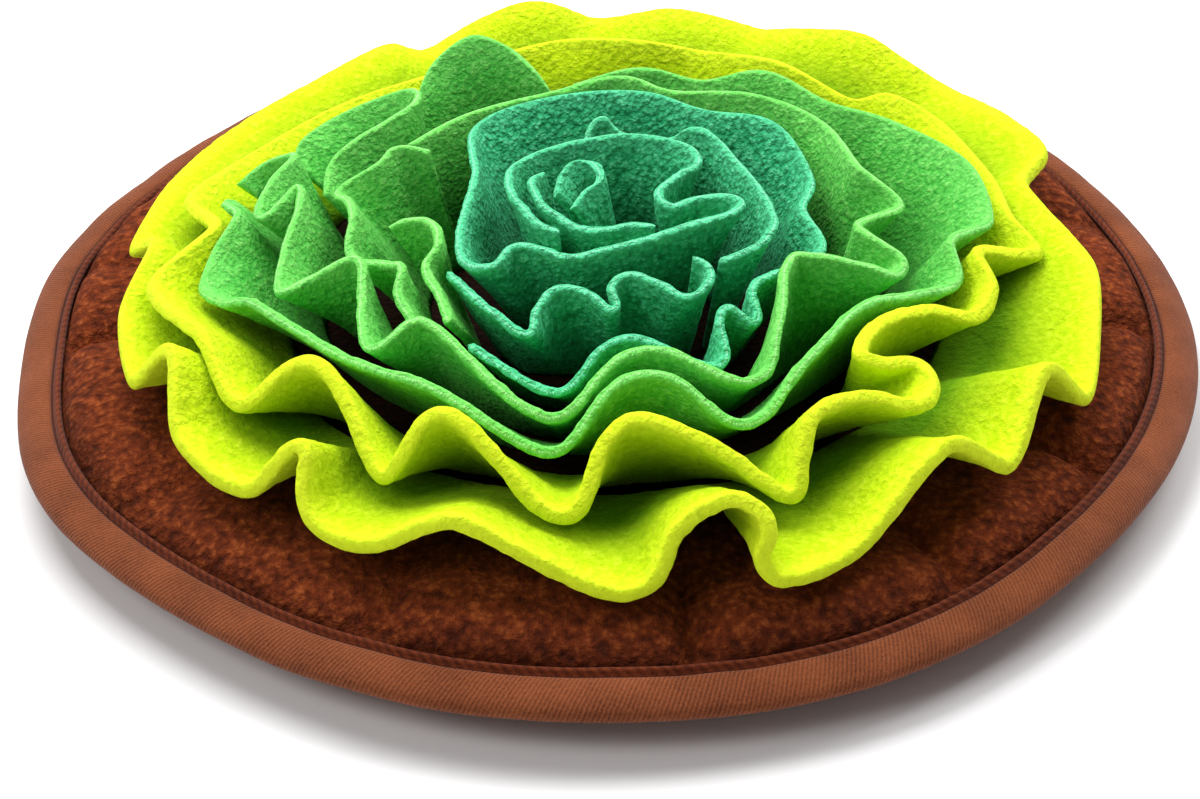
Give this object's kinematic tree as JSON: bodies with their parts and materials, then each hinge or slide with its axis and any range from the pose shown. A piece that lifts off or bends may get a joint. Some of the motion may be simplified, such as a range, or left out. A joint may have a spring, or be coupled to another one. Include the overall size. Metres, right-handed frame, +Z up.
{
  "type": "snuffle mat",
  "caption": "Round padded snuffle mat with bound rim and tall gathered fleece ruffles in lime, green and teal, wound into a rose, that hide dry treats.",
  "frame": {"origin": "bottom centre, on the surface that the mat rests on", "axes": "+Z up out of the ruffles, -Y towards the front edge, +X to the right seen from the front"},
  "size_m": [0.2991, 0.3008, 0.0606],
  "materials": {
    "pad_fleece": "matt brown napped fleece",
    "binding_twill": "matt brown twill tape",
    "lime_fleece": "matt lime fleece",
    "green_fleece": "matt mid green fleece",
    "teal_fleece": "matt teal green fleece"
  },
  "bodies": {
    "root": {"base_pad": "pad_fleece", "binding": "binding_twill", "lime_ruffle_lower": "lime_fleece", "lime_ruffle_upper": "lime_fleece", "green_ruffle_lower": "green_fleece", "green_ruffle_upper": "green_fleece", "green_ruffle_rear": "green_fleece", "green_ruffle_leaf": "green_fleece", "green_ruffle_left": "green_fleece", "green_ruffle_inner": "green_fleece", "teal_ruffle_outer": "teal_fleece", "teal_ruffle_front": "teal_fleece", "teal_ruffle_right": "teal_fleece", "teal_ruffle_inner": "teal_fleece", "teal_ruffle_core": "teal_fleece"}
  },
  "joints": []
}
